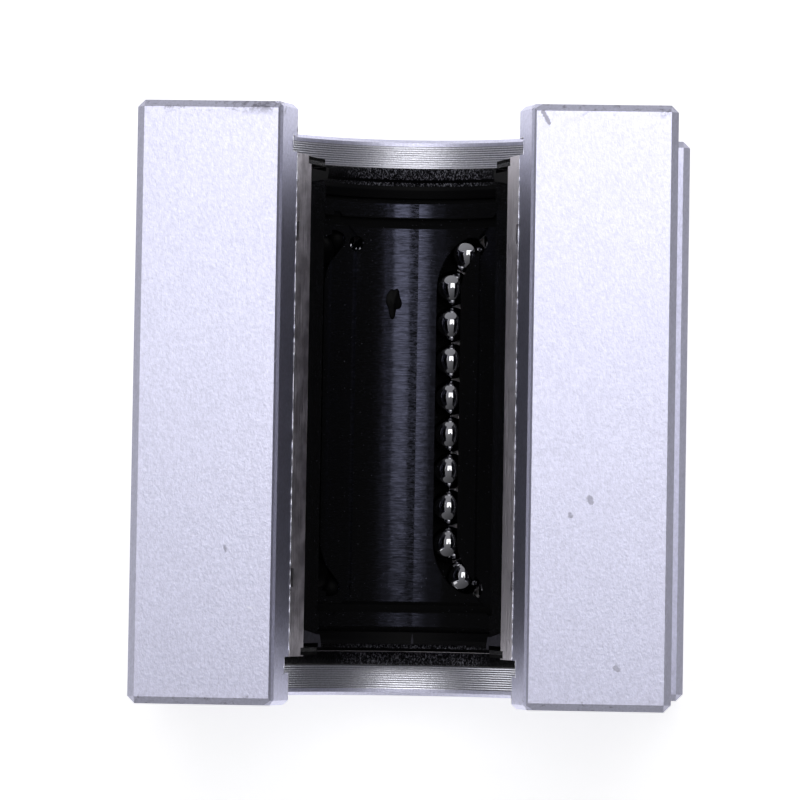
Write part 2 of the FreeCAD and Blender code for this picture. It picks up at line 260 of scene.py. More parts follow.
# %% Start the housing's network
housing_metal, tree, point = new_material("blasted_anodised_aluminium")
axes = add(tree, "ShaderNodeSeparateXYZ", {0: point})
x, y, z = axes.outputs
rise = add(tree, "ShaderNodeMath", {0: z, 1: axis_height / MM}, operation="SUBTRACT").outputs[0]
from_axis = add(tree, "ShaderNodeCombineXYZ", {0: x, 1: 0.0, 2: rise})
radius = add(tree, "ShaderNodeVectorMath", {0: from_axis.outputs[0]},
             operation="LENGTH").outputs["Value"]

# %% Mask of the turned bore
# The blasting has rounded the outer half millimetre of each land, so the bare metal starts
# further in.
inside = add(tree, "ShaderNodeMath", {0: radius, 1: bore_radius / MM + 0.06}, operation="LESS_THAN")
end_near = add(tree, "ShaderNodeMath", {0: y}, operation="ABSOLUTE")
unblasted = add(tree, "ShaderNodeMath", {0: end_near.outputs[0], 1: half_length / MM - 0.62},
                operation="LESS_THAN")
turned = add(tree, "ShaderNodeMath", {0: inside.outputs[0], 1: unblasted.outputs[0]},
             operation="MULTIPLY").outputs[0]

# %% Blasted grain and soft cloudiness
# The real grain is 0.15 mm. It is drawn at 0.3 mm to show, and slightly drawn out along the block,
# as the extrusion is underneath. The clouds are 3 mm across and very faint.
drawn = add(tree, "ShaderNodeVectorMath", {0: point, 1: (1.0, 0.6, 1.0)}, operation="MULTIPLY")
grain = add(tree, "ShaderNodeTexNoise", {"Vector": drawn.outputs[0], "Scale": 4.6, "Detail": 3.0,
                                         "Roughness": 0.7})
clouds = add(tree, "ShaderNodeTexNoise", {"Vector": point, "Scale": 0.35, "Detail": 2.0})
skin = add(tree, "ShaderNodeMix", {0: clouds.outputs["Fac"], 6: linear("#dedef3"),
                                   7: linear("#e2e2f7")}, data_type="RGBA")
sparkle = add(tree, "ShaderNodeMapRange", {0: grain.outputs["Fac"], 1: 0.3, 2: 0.7, 3: 0.90,
                                           4: 1.10})
skin = add(tree, "ShaderNodeVectorMath", {0: skin.outputs[2], "Scale": sparkle.outputs[0]},
           operation="SCALE")

# %% Turning lines in the bore
line_pitch = 0.2
wander = add(tree, "ShaderNodeTexNoise", {"Vector": point, "Scale": 0.8, "Detail": 2.0})
shifted = add(tree, "ShaderNodeMath", {0: wander.outputs["Fac"], 1: 0.07, 2: y},
              operation="MULTIPLY_ADD")
phase = add(tree, "ShaderNodeMath", {0: shifted.outputs[0], 1: 2 * math.pi / line_pitch},
            operation="MULTIPLY")
line = add(tree, "ShaderNodeMath", {0: phase.outputs[0]}, operation="SINE").outputs[0]
chatter = add(tree, "ShaderNodeTexNoise", {"Vector": point, "Scale": 7.0,
                                           "Detail": 2.0}).outputs["Fac"]
mixed = add(tree, "ShaderNodeMath", {0: chatter, 1: 5.0, 2: line}, operation="MULTIPLY_ADD")
bright = add(tree, "ShaderNodeMapRange", {0: mixed.outputs[0], 1: 1.0, 2: 4.0, 3: 0.70, 4: 1.0})
lathe = add(tree, "ShaderNodeVectorMath", {0: linear("#f5f5ff")[:3], "Scale": bright.outputs[0]},
            operation="SCALE")
cut_or_skin = add(tree, "ShaderNodeMix", {0: turned, 6: skin.outputs[0], 7: lathe.outputs[0]},
                  data_type="RGBA")

# %% Chamfers darkened with painted shade
# Painted shade: the chamfers' colour is darkened by a third, so that they look as they do in shade.
# A face that leans from all three axes is such an edge; the bore's own curve is left out.
facing = add(tree, "ShaderNodeTexCoord").outputs["Normal"]
facing = add(tree, "ShaderNodeVectorMath", {0: facing}, operation="ABSOLUTE").outputs[0]
facing = add(tree, "ShaderNodeSeparateXYZ", {0: facing}).outputs
flattest = add(tree, "ShaderNodeMath", {0: facing[0], 1: facing[1]}, operation="MAXIMUM")
flattest = add(tree, "ShaderNodeMath", {0: flattest.outputs[0], 1: facing[2]}, operation="MAXIMUM")
leaning = add(tree, "ShaderNodeMath", {0: flattest.outputs[0], 1: 0.8}, operation="LESS_THAN")
outside = add(tree, "ShaderNodeMath", {0: radius, 1: bore_radius / MM + 3.0},
              operation="GREATER_THAN")
leaning = add(tree, "ShaderNodeMath", {0: leaning.outputs[0], 1: outside.outputs[0]},
              operation="MULTIPLY")
painted_chamfer_shade = add(tree, "ShaderNodeMath", {0: leaning.outputs[0], 1: -0.34, 2: 1.0},
            operation="MULTIPLY_ADD")
cut_or_skin = add(tree, "ShaderNodeVectorMath", {0: cut_or_skin.outputs[2],
                                                 "Scale": painted_chamfer_shade.outputs[0]}, operation="SCALE")

# %% Dirt ground into the edges
# Blotches where a noise is high, in the last millimetre before the ends and only near the tops.
# Most of it is at the far end, on the left leg beside the slot.
end_near = add(tree, "ShaderNodeMapRange", {0: end_near.outputs[0], 1: half_length / MM - 1.3,
                                            2: half_length / MM - 0.5, 3: 0.0, 4: 1.0})
blotch = add(tree, "ShaderNodeTexNoise", {"Vector": point, "Scale": 1.5, "Detail": 4.0,
                                          "Roughness": 0.7})
patch_middle = -12.2
patch_x = add(tree, "ShaderNodeMath", {0: x, 1: patch_middle}, operation="SUBTRACT")
patch_x = add(tree, "ShaderNodeMath", {0: patch_x.outputs[0]}, operation="ABSOLUTE")
patch = add(tree, "ShaderNodeMapRange", {0: patch_x.outputs[0], 1: 1.2, 2: 3.0, 3: 0.13, 4: 0.03})
far = add(tree, "ShaderNodeMath", {0: y, 1: 0.0}, operation="GREATER_THAN")
patch = add(tree, "ShaderNodeMath", {0: patch.outputs[0], 1: far.outputs[0]}, operation="MULTIPLY")
level = add(tree, "ShaderNodeMath", {0: blotch.outputs["Fac"], 1: patch.outputs[0]},
            operation="ADD")
dirt = add(tree, "ShaderNodeMapRange", {0: level.outputs[0], 1: 0.57, 2: 0.72, 3: 0.0, 4: 0.8})
dirt = add(tree, "ShaderNodeMath", {0: dirt.outputs[0], 1: end_near.outputs[0]},
           operation="MULTIPLY")
high = add(tree, "ShaderNodeMapRange", {0: z, 1: block_top / MM - 1.6, 2: block_top / MM - 0.7,
                                        3: 0.0, 4: 1.0})
dirt = add(tree, "ShaderNodeMath", {0: dirt.outputs[0], 1: high.outputs[0]}, operation="MULTIPLY")
worn = add(tree, "ShaderNodeMix", {0: dirt.outputs[0], 6: cut_or_skin.outputs[0],
                                   7: linear("#6f6d78")}, data_type="RGBA").outputs[2]

# %% Pits and scratches on the tops
# Each mark is a short line: from, to, half width and tone, in millimetres.
marks = [
    ((-11.8, 1.7), (-10.5, 3.6), 0.03, "#ececff"),
    ((-12.5, -16.9), (-12.1, -17.0), 0.05, "#f0f0ff"),
    ((-14.5, -11.9), (-14.4, -12.3), 0.10, "#a5a4b5"),
    ((15.5, -7.5), (15.6, -7.8), 0.24, "#a9a8b8"),
    ((13.9, -8.9), (14.0, -9.0), 0.16, "#a4a3b3"),
    ((17.8, -21.4), (18.0, -21.5), 0.20, "#adacbc"),
    ((11.2, 24.3), (11.7, 23.4), 0.16, "#8f8d9a"),
]
flat_point = add(tree, "ShaderNodeCombineXYZ", {0: x, 1: y, 2: 0.0}).outputs[0]
on_top = add(tree, "ShaderNodeMath", {0: z, 1: block_top / MM - 0.7},
             operation="GREATER_THAN").outputs[0]
ragged = add(tree, "ShaderNodeTexNoise", {"Vector": point, "Scale": 5.0,
                                          "Detail": 2.0}).outputs["Fac"]
for start, end, half_width, tone in marks:
    along = Vector((end[0] - start[0], end[1] - start[1], 0))
    here = add(tree, "ShaderNodeVectorMath", {0: flat_point, 1: (start[0], start[1], 0)},
               operation="SUBTRACT")
    travel = add(tree, "ShaderNodeVectorMath", {0: here.outputs[0],
                                                1: along / along.length_squared},
                 operation="DOT_PRODUCT")
    held = add(tree, "ShaderNodeClamp", {0: travel.outputs["Value"]})
    foot = add(tree, "ShaderNodeVectorMath", {0: along, "Scale": held.outputs[0]},
               operation="SCALE")
    away = add(tree, "ShaderNodeVectorMath", {0: here.outputs[0], 1: foot.outputs[0]},
               operation="DISTANCE")
    rough = add(tree, "ShaderNodeMath", {0: ragged, 1: 0.3, 2: away.outputs["Value"]},
                operation="MULTIPLY_ADD")
    hit = add(tree, "ShaderNodeMapRange", {0: rough.outputs[0], 1: half_width + 0.12,
                                           2: half_width + 0.2, 3: 0.85, 4: 0.0})
    hit = add(tree, "ShaderNodeMath", {0: hit.outputs[0], 1: on_top}, operation="MULTIPLY")
    worn = add(tree, "ShaderNodeMix", {0: hit.outputs[0], 6: worn, 7: linear(tone)},
               data_type="RGBA").outputs[2]
print("marks:", len(marks))

# %% Relief and gloss of the aluminium
blasted = add(tree, "ShaderNodeBump", {"Strength": 0.6, "Distance": 0.03 * MM,
                                       "Height": grain.outputs["Fac"]})
grooved = add(tree, "ShaderNodeBump", {"Strength": turned, "Distance": 0.009 * MM, "Height": line,
                                       "Normal": blasted.outputs[0]})
gloss = add(tree, "ShaderNodeMapRange", {0: turned, 1: 0.0, 2: 1.0, 3: 0.39, 4: 0.29})
finish_material(housing_metal, tree, Base_Color=worn, Metallic=1.0, Roughness=gloss.outputs[0],
                Normal=grooved.outputs[0])

# %% [markdown]
# ## Ground bearing steel
#
# The sleeve is hardened bearing steel, ground outside and slit with a wheel. Ground steel has fine
# parallel lines, here along the shaft, and old oil dulls and warms it in patches.

# %% Sleeve steel
sleeve_steel, tree, point = new_material("ground_bearing_steel")
lines_at = add(tree, "ShaderNodeVectorMath", {0: point, 1: (6.0, 0.25, 6.0)}, operation="MULTIPLY")
lines = add(tree, "ShaderNodeTexNoise", {"Vector": lines_at.outputs[0], "Scale": 1.0,
                                         "Detail": 3.0})
oil = add(tree, "ShaderNodeTexNoise", {"Vector": point, "Scale": 0.5, "Detail": 3.0})
# The left half is painted darker than the right one: painted shade, laid over the real oil patches.
axes = add(tree, "ShaderNodeSeparateXYZ", {0: point})
left = add(tree, "ShaderNodeMapRange", {0: axes.outputs[0], 1: -1.0, 2: 1.0, 3: 0.0, 4: 0.35})
patchy = add(tree, "ShaderNodeMath", {0: oil.outputs["Fac"], 1: left.outputs[0]},
             operation="SUBTRACT")
oil_and_painted_shade = add(tree, "ShaderNodeMapRange", {0: patchy.outputs[0], 1: 0.2, 2: 0.6, 3: 0.0, 4: 1.0})
tone = add(tree, "ShaderNodeMix", {0: oil_and_painted_shade.outputs[0], 6: linear("#fdf8fd"), 7: linear("#b2adb2")},
           data_type="RGBA")
gloss = add(tree, "ShaderNodeMapRange", {0: lines.outputs["Fac"], 1: 0.3, 2: 0.7, 3: 0.40, 4: 0.52})
relief = add(tree, "ShaderNodeBump", {"Strength": 1.0, "Distance": 0.13 * MM,
                                      "Height": lines.outputs["Fac"]})
finish_material(sleeve_steel, tree, Base_Color=tone.outputs[2], Metallic=1.0,
                Roughness=gloss.outputs[0], Normal=relief.outputs[0])

# %% [markdown]
# ## Oily black plastic
#
# The retainer is moulded in black acetal. It is glossy because it is wet with oil, and the film
# shows very fine ripples across the shaft, about 0.1 mm apart. Dust has settled in the oil as tiny
# pale specks. The plastic reflects only about four parts in a hundred, which is what makes the
# highlight in the bore a dim blue-grey band and not a white one.

# %% Retainer plastic
retainer_plastic, tree, point = new_material("oily_black_acetal")
ripple_at = add(tree, "ShaderNodeVectorMath", {0: point, 1: (0.9, 11.0, 0.9)}, operation="MULTIPLY")
ripple = add(tree, "ShaderNodeTexNoise", {"Vector": ripple_at.outputs[0], "Scale": 1.0,
                                          "Detail": 2.0})
film = add(tree, "ShaderNodeTexNoise", {"Vector": point, "Scale": 0.9, "Detail": 2.0})
streak_turn = add(tree, "ShaderNodeMapping", {"Vector": point, "Rotation": (0, 0, math.radians(24)),
                                              "Scale": (2.5, 9.0, 2.5)})
streaks = add(tree, "ShaderNodeTexNoise", {"Vector": streak_turn.outputs[0], "Scale": 1.0,
                                           "Detail": 2.0})
dust = add(tree, "ShaderNodeTexNoise", {"Vector": point, "Scale": 6.0, "Detail": 1.0})
specks = add(tree, "ShaderNodeMapRange", {0: dust.outputs["Fac"], 1: 0.74, 2: 0.80, 3: 0.0, 4: 0.6})
tone = add(tree, "ShaderNodeMix", {0: specks.outputs[0], 6: linear("#161617"),
                                   7: linear("#70707c")}, data_type="RGBA")
gloss = add(tree, "ShaderNodeMapRange", {0: streaks.outputs["Fac"], 1: 0.3, 2: 0.7, 3: 0.06,
                                         4: 0.26})
# The step between the bore and each end collar is left matt by the mould.
axes = add(tree, "ShaderNodeSeparateXYZ", {0: point})
from_middle = add(tree, "ShaderNodeMath", {0: axes.outputs[1]}, operation="ABSOLUTE")
step = add(tree, "ShaderNodeMath", {0: from_middle.outputs[0], 1: 17.05, 2: 0.45},
           operation="COMPARE")
low_part = add(tree, "ShaderNodeMath", {0: axes.outputs[2], 1: 16.0}, operation="LESS_THAN")
step = add(tree, "ShaderNodeMath", {0: step.outputs[0], 1: low_part.outputs[0]},
           operation="MULTIPLY")
gloss = add(tree, "ShaderNodeMath", {0: step.outputs[0], 1: 0.55, 2: gloss.outputs[0]},
            operation="MULTIPLY_ADD")
# Towards the front the oil film has dried, and on the right it is thinner: both reflect less.
dry = add(tree, "ShaderNodeMapRange", {0: axes.outputs[1], 1: -15.0, 2: 12.0, 3: 0.62, 4: 1.0})
thin = add(tree, "ShaderNodeMapRange", {0: axes.outputs[0], 1: 0.2, 2: 0.9, 3: 1.0, 4: 0.50})
film_level = add(tree, "ShaderNodeMath", {0: dry.outputs[0], 1: thin.outputs[0]},
                 operation="MULTIPLY")
mottled = add(tree, "ShaderNodeMapRange", {0: ripple.outputs["Fac"], 1: 0.35, 2: 0.65, 3: 0.30,
                                           4: 0.74})
film_level = add(tree, "ShaderNodeMath", {0: film_level.outputs[0], 1: mottled.outputs[0]},
                 operation="MULTIPLY")
bare = add(tree, "ShaderNodeMath", {0: 1.0, 1: step.outputs[0]}, operation="SUBTRACT")
film_level = add(tree, "ShaderNodeMath", {0: film_level.outputs[0], 1: bare.outputs[0]},
                 operation="MULTIPLY")
sag = add(tree, "ShaderNodeBump", {"Strength": 0.5, "Distance": 0.03 * MM,
                                   "Height": film.outputs["Fac"]})
relief = add(tree, "ShaderNodeBump", {"Strength": 0.5, "Distance": 0.005 * MM,
                                      "Height": ripple.outputs["Fac"], "Normal": sag.outputs[0]})
finish_material(retainer_plastic, tree, Base_Color=tone.outputs[2], Roughness=gloss.outputs[0],
                IOR=1.52, Specular_Tint=linear("#d2d6ff"), Specular_IOR_Level=film_level.outputs[0],
                Normal=relief.outputs[0])

# %% [markdown]
# ## Polished chrome steel
#
# Bearing balls are lapped to a mirror, so each one shows the whole room: the bright open ends of
# the bore above and below, joined by the slot. Only a faint smear of oil breaks the mirror.

# %% Ball steel
ball_steel, tree, point = new_material("lapped_chrome_steel")
smear = add(tree, "ShaderNodeTexNoise", {"Vector": point, "Scale": 1.5, "Detail": 1.0})
gloss = add(tree, "ShaderNodeMapRange", {0: smear.outputs["Fac"], 1: 0.35, 2: 0.65, 3: 0.03,
                                         4: 0.08})
# The balls of the circuit that lies furthest to the left are made black and dull: painted shade.
painted_shade_reach = -6.6
axes = add(tree, "ShaderNodeSeparateXYZ", {0: point})
painted_shade_balls = add(tree, "ShaderNodeMath", {0: axes.outputs[0], 1: painted_shade_reach}, operation="LESS_THAN")
unshaded_balls = add(tree, "ShaderNodeMath", {0: 1.0, 1: painted_shade_balls.outputs[0]}, operation="SUBTRACT")
tone = add(tree, "ShaderNodeMix", {0: painted_shade_balls.outputs[0], 6: linear("#bcbcc0"),
                                   7: linear("#060607")}, data_type="RGBA")
gloss = add(tree, "ShaderNodeMath", {0: painted_shade_balls.outputs[0], 1: 0.4, 2: gloss.outputs[0]},
            operation="MULTIPLY_ADD")
shine = add(tree, "ShaderNodeMath", {0: unshaded_balls.outputs[0], 1: 0.45, 2: 0.05},
            operation="MULTIPLY_ADD")
finish_material(ball_steel, tree, Base_Color=tone.outputs[2], Metallic=unshaded_balls.outputs[0],
                Roughness=gloss.outputs[0], Specular_IOR_Level=shine.outputs[0])

# %% [markdown]
# ## Seal rubber
#
# The seals are black nitrile rubber. Moulded faces are matt and dark; where the ring was cut
# through for the slot, the cut face is rubbed grey, more so at the front. The cut faces lie just
# behind the slot's two leaning flanks, so the distance to those planes finds them.

# %% Rubber with rubbed cut faces
seal_rubber, tree, point = new_material("nitrile_rubber")
axes = add(tree, "ShaderNodeSeparateXYZ", {0: point})
x, y, z = axes.outputs
spread = add(tree, "ShaderNodeMath", {0: x}, operation="ABSOLUTE")
seal_setback = 0.1
flank = add(tree, "ShaderNodeMath", {0: z, 1: -flank_slope, 2: spread.outputs[0]},
            operation="MULTIPLY_ADD")
cut_plane = (slot_half_width - flank_slope * block_top) / MM + seal_setback
cut_face = add(tree, "ShaderNodeMath", {0: flank.outputs[0], 1: cut_plane + 0.05},
               operation="LESS_THAN")
rub = add(tree, "ShaderNodeTexNoise", {"Vector": point, "Scale": 2.5, "Detail": 3.0})
rubbed_wear_and_painted_glint = add(tree, "ShaderNodeMapRange", {0: rub.outputs["Fac"], 1: 0.3, 2: 0.7, 3: 0.55, 4: 1.0})
rubbed_wear_and_painted_glint = add(tree, "ShaderNodeMath", {0: rubbed_wear_and_painted_glint.outputs[0], 1: cut_face.outputs[0]},
             operation="MULTIPLY")
near_end = add(tree, "ShaderNodeMapRange", {0: y, 1: -18.0, 2: 18.0, 3: 1.0, 4: 0.0})
rubbed_wear_and_painted_glint = add(tree, "ShaderNodeMath", {0: rubbed_wear_and_painted_glint.outputs[0], 1: near_end.outputs[0]},
             operation="MULTIPLY")
tone = add(tree, "ShaderNodeMix", {0: rubbed_wear_and_painted_glint.outputs[0], 6: linear("#08080a"),
                                   7: linear("#3c3b44")}, data_type="RGBA")
relief = add(tree, "ShaderNodeBump", {"Strength": 0.3, "Distance": 0.02 * MM,
                                      "Height": rub.outputs["Fac"]})
finish_material(seal_rubber, tree, Base_Color=tone.outputs[2], Roughness=0.6,
                Specular_IOR_Level=0.12, Normal=relief.outputs[0])

# %% [markdown]
# ## Blackened spring steel
#
# The rings are stamped from strip and blackened. A stamped edge is torn, not smooth, so the rings'
# inner edges glitter: small facets of bare metal flash white against the black skin.

# %% Ring steel with torn edges
ring_steel, tree, point = new_material("blackened_spring_steel")
torn_at = add(tree, "ShaderNodeVectorMath", {0: point, 1: (8.0, 4.5, 8.0)}, operation="MULTIPLY")
torn = add(tree, "ShaderNodeTexNoise", {"Vector": torn_at.outputs[0], "Scale": 1.0, "Detail": 4.0,
                                        "Roughness": 0.75})
torn_facets_and_painted_glint = add(tree, "ShaderNodeMapRange", {0: torn.outputs["Fac"], 1: 0.50, 2: 0.70, 3: 0.0, 4: 0.8})
# Bare metal shows only in the middle: a painted highlight where the lamp above glints, and painted
# shade that keeps the sides of the ring black.
axes = add(tree, "ShaderNodeSeparateXYZ", {0: point})
sideways = add(tree, "ShaderNodeMath", {0: axes.outputs[0]}, operation="ABSOLUTE")
rubbed_wear_and_painted_glint = add(tree, "ShaderNodeMapRange", {0: sideways.outputs[0], 1: 4.5, 2: 7.0, 3: 1.0, 4: 0.06})
torn_facets_and_painted_glint = add(tree, "ShaderNodeMath", {0: torn_facets_and_painted_glint.outputs[0], 1: rubbed_wear_and_painted_glint.outputs[0]},
             operation="MULTIPLY")
# The far corner of each side ring is rolled over and stays black.
from_middle = add(tree, "ShaderNodeMath", {0: axes.outputs[1]}, operation="ABSOLUTE")
rolled = add(tree, "ShaderNodeMath", {0: from_middle.outputs[0], 1: 20.83, 2: 0.2},
             operation="COMPARE")
upright = add(tree, "ShaderNodeMath", {0: 1.0, 1: rolled.outputs[0]}, operation="SUBTRACT")
torn_facets_and_painted_glint = add(tree, "ShaderNodeMath", {0: torn_facets_and_painted_glint.outputs[0], 1: upright.outputs[0]},
             operation="MULTIPLY")
gloss = add(tree, "ShaderNodeMath", {0: rolled.outputs[0], 1: 0.5, 2: 0.34},
            operation="MULTIPLY_ADD")
tone = add(tree, "ShaderNodeMix", {0: torn_facets_and_painted_glint.outputs[0], 6: linear("#0e0e10"),
                                   7: linear("#b4b4c0")}, data_type="RGBA")
relief = add(tree, "ShaderNodeBump", {"Strength": 0.9, "Distance": 0.12 * MM,
                                      "Height": torn.outputs["Fac"]})
finish_material(ring_steel, tree, Base_Color=tone.outputs[2], Metallic=1.0,
                Roughness=gloss.outputs[0], Normal=relief.outputs[0])

# %% [markdown]
# ## Black oxide screw
#
# The set screw is blackened in hot salts, which leaves a thin dark skin that still shows metal.

# %% Screw steel
screw_steel, tree, point = new_material("black_oxide_steel")
mottle = add(tree, "ShaderNodeTexNoise", {"Vector": point, "Scale": 2.5, "Detail": 3.0})
tone = add(tree, "ShaderNodeMix", {0: mottle.outputs["Fac"], 6: linear("#1e1e22"),
                                   7: linear("#3b3b41")}, data_type="RGBA")
relief = add(tree, "ShaderNodeBump", {"Strength": 0.4, "Distance": 0.02 * MM,
                                      "Height": mottle.outputs["Fac"]})
finish_material(screw_steel, tree, Base_Color=tone.outputs[2], Metallic=1.0, Roughness=0.38,
                Normal=relief.outputs[0])

# %% Give every solid its finish
finish_of = {"housing": housing_metal, "bearing_sleeve": sleeve_steel,
             "ball_retainer": retainer_plastic, "ball_circuit": ball_steel, "end_seal": seal_rubber,
             "side_ring": ring_steel, "retaining_ring": ring_steel, "adjusting_screw": screw_steel}
for name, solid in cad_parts.items():
    for prefix, finish in finish_of.items():
        if name.startswith(prefix):
            solid.data.materials.clear()
            solid.data.materials.append(finish)
print("finished solids:", len(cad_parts))

# %% [markdown]
# ## Pieces made with Geometry Nodes
#
# The small pieces follow paths: a ring follows an arc, a thread a helix, a burr an edge. Each gets
# a little tree that is baked to a plain mesh. The tree runs as a modifier on a carrier mesh, its
# inputs are set before it is first evaluated, and only the result stays.

# %% Helpers for geometry trees
def new_tree(name, **sizes):
    """Geometry tree with a mesh input and one number input for each named size."""
    tree = bpy.data.node_groups.new(name, "GeometryNodeTree")
    tree.interface.new_socket("Geometry", in_out="INPUT", socket_type="NodeSocketGeometry")
    for size, value in sizes.items():
        tree.interface.new_socket(size, in_out="INPUT",
                                  socket_type="NodeSocketFloat").default_value = value
    tree.interface.new_socket("Geometry", in_out="OUTPUT", socket_type="NodeSocketGeometry")
    return tree, tree.nodes.new("NodeGroupInput").outputs


def close_tree(tree, geometry, finish):
    """Ends a tree with real geometry and its finish."""
    real = add(tree, "GeometryNodeRealizeInstances", {"Geometry": geometry})
    coated = add(tree, "GeometryNodeSetMaterial", {"Geometry": real.outputs[0], "Material": finish})
    add(tree, "NodeGroupOutput", {"Geometry": coated.outputs[0]})


def bake(name, tree, slot, carrier=None, place=None, **sizes):
    """Runs a tree, keeps its mesh as a piece of the block, and drops the modifier."""
    host = bpy.data.objects.new("host", carrier or bpy.data.meshes.new("host"))
    bpy.context.collection.objects.link(host)
    modifier = host.modifiers.new("tree", "NODES")
    modifier.node_group = tree
    for socket in tree.interface.items_tree:
        if socket.name in sizes:
            modifier[socket.identifier] = sizes[socket.name]
    grown = host.evaluated_get(bpy.context.evaluated_depsgraph_get())
    mesh = bpy.data.meshes.new_from_object(grown)
    bpy.data.objects.remove(host)
    mesh.name = name
    if place:
        mesh.transform(place)
    piece = bpy.data.objects.new(name, mesh)
    bpy.context.collection.objects.link(piece)
    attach(piece, "block")
    low = [round(min(v.co[i] for v in mesh.vertices) / MM, 2) for i in range(3)]
    high = [round(max(v.co[i] for v in mesh.vertices) / MM, 2) for i in range(3)]
    print(name, len(mesh.polygons), "faces, from", low, "to", high)
    return piece


# %% [markdown]
# ## Retaining rings
#
# Each ring that holds the sleeve is stamped from strip, with rounded edges. Its gap is wider than
# the slot so that pliers can reach its ends, which leaves the groove open at both flanks. An arc
# with a rounded rectangle as its section makes it. The CAD rings stop just behind the flanks, so
# these replace them.

# %% Ring tree
ring_tree, size = new_tree("stamped_ring", Radius=0.0, Height=0.0, Thickness=0.0, Edge=0.0, Gap=0.0)
sweep = add(ring_tree, "ShaderNodeMath", {0: 2 * math.pi, 1: size["Gap"]}, operation="SUBTRACT")
half_gap = add(ring_tree, "ShaderNodeMath", {0: size["Gap"], 1: 0.5, 2: math.pi / 2},
               operation="MULTIPLY_ADD")
arc = add(ring_tree, "GeometryNodeCurveArc", {"Resolution": 120, "Radius": size["Radius"],
                                              "Start Angle": half_gap.outputs[0],
                                              "Sweep Angle": sweep.outputs[0]})
level_arc = add(ring_tree, "GeometryNodeSetCurveNormal", {"Curve": arc.outputs["Curve"]})
section = add(ring_tree, "GeometryNodeCurvePrimitiveQuadrilateral", {"Width": size["Height"],
                                                                     "Height": size["Thickness"]})
rounded = add(ring_tree, "GeometryNodeFilletCurve", {"Curve": section.outputs[0],
                                                     "Radius": size["Edge"]})
swept = add(ring_tree, "GeometryNodeCurveToMesh", {"Curve": level_arc.outputs[0],
                                                   "Profile Curve": rounded.outputs[0],
                                                   "Fill Caps": True})
close_tree(ring_tree, swept.outputs[0], ring_steel)

# %% Bake the two rings
ring_height = 2.8 * MM
for end in ("front", "rear"):
    low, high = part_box(f"retaining_ring_{end}")
    outer = high[0]
    inner = outer - ring_height
    middle = Matrix.Translation((0, (low[1] + high[1]) / 2, axis_height))
    stand = middle @ Matrix.Rotation(math.pi / 2, 4, "X")
    ring = bake(f"stamped_ring_{end}", ring_tree, "blackened_steel", place=stand,
                Radius=(outer + inner) / 2, Height=outer - inner, Thickness=high[1] - low[1],
                Edge=0.12 * MM, Gap=math.radians(100))
    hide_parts(f"retaining_ring_{end}")

# %% [markdown]
# ## Screw threads
#
# The four tapped holes in the mounting face and the mouth of the side hole have threads. A helix
# with a small four-sided section, half sunk in the wall, leaves the same ridges as a tap does. The
# four equal holes are instances on the corners of a grid. The side hole uses the same tree with no
# spacing, so its four instances lie on one another.

# %% Thread tree
thread_tree, size = new_tree("tapped_thread", Radius=0.0, Pitch=0.0, Length=0.0, Ridge=0.0,
                             Spacing=0.0)
turns = add(thread_tree, "ShaderNodeMath", {0: size["Length"], 1: size["Pitch"]},
            operation="DIVIDE")
helix = add(thread_tree, "GeometryNodeCurveSpiral", {"Resolution": 32,
                                                     "Rotations": turns.outputs[0],
                                                     "Start Radius": size["Radius"],
                                                     "End Radius": size["Radius"],
                                                     "Height": size["Length"]})
ridge = add(thread_tree, "GeometryNodeCurvePrimitiveCircle", {"Resolution": 4,
                                                              "Radius": size["Ridge"]})
thread = add(thread_tree, "GeometryNodeCurveToMesh", {"Curve": helix.outputs[0],
                                                      "Profile Curve": ridge.outputs[0],
                                                      "Fill Caps": True})
grid = add(thread_tree, "GeometryNodeMeshGrid", {"Size X": size["Spacing"],
                                                 "Size Y": size["Spacing"], "Vertices X": 2,
                                                 "Vertices Y": 2})
threads = add(thread_tree, "GeometryNodeInstanceOnPoints", {"Points": grid.outputs[0],
                                                            "Instance": thread.outputs[0]})
close_tree(thread_tree, threads.outputs[0], housing_metal)

# %% Bake the threads of the mounting holes
hole_start = 0.7
lift = Matrix.Translation((0, 0, hole_start * MM))
bake("mounting_threads", thread_tree, "anodised_aluminium", place=lift, Radius=2.5 * MM,
     Pitch=1.0 * MM, Length=9.8 * MM, Ridge=0.26 * MM, Spacing=35 * MM)

# %% Bake the thread in the side hole's mouth
screw_low, screw_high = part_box("adjusting_screw")
screw_height = (screw_low[2] + screw_high[2]) / 2
mouth_start = 21.15
mouth = Matrix.Translation((mouth_start * MM, 0, screw_height))
across = mouth @ Matrix.Rotation(math.pi / 2, 4, "Y")
bake("side_hole_thread", thread_tree, "anodised_aluminium", place=across, Radius=2.5 * MM,
     Pitch=0.8 * MM, Length=1.0 * MM, Ridge=0.2 * MM, Spacing=0.0)

# %% [markdown]
# ## Burrs along the slot
#
# Milling the slot has left a fine bright burr where each flank meets the bore and round the ring
# grooves. A burr is an uneven wire on an edge: the edges are drawn as plain lines, then resampled,
# shaken by a noise and given a section whose size changes with another noise.

# %% Edges that carry a burr
edge_x, edge_height = 9.25, 36.05
groove_x, groove_height = 9.57, 36.85
middle_end = 20.9
groove_near, groove_far = 20.95, 22.35
land_end = 24.1
edge_form = bmesh.new()
for side in (-1, 1):
    runs = [((edge_x, -middle_end, edge_height), (edge_x, middle_end, edge_height))]
    for end in (-1, 1):
        near, far, last = end * groove_near, end * groove_far, end * land_end
        runs += [
            ((groove_x, near, groove_height), (groove_x, far + end * 0.05, groove_height)),
            ((edge_x + 0.05, far, edge_height), (edge_x + 0.05, last, edge_height)),
            ((edge_x + 0.03, far, edge_height), (groove_x, far, groove_height)),
        ]
    for start, stop in runs:
        ends = [edge_form.verts.new((side * a * MM, b * MM, c * MM)) for a, b, c in (start, stop)]
        edge_form.edges.new(ends)
edges = bpy.data.meshes.new("slot_edges")
edge_form.to_mesh(edges)
edge_form.free()
print("burr runs:", len(edges.edges))

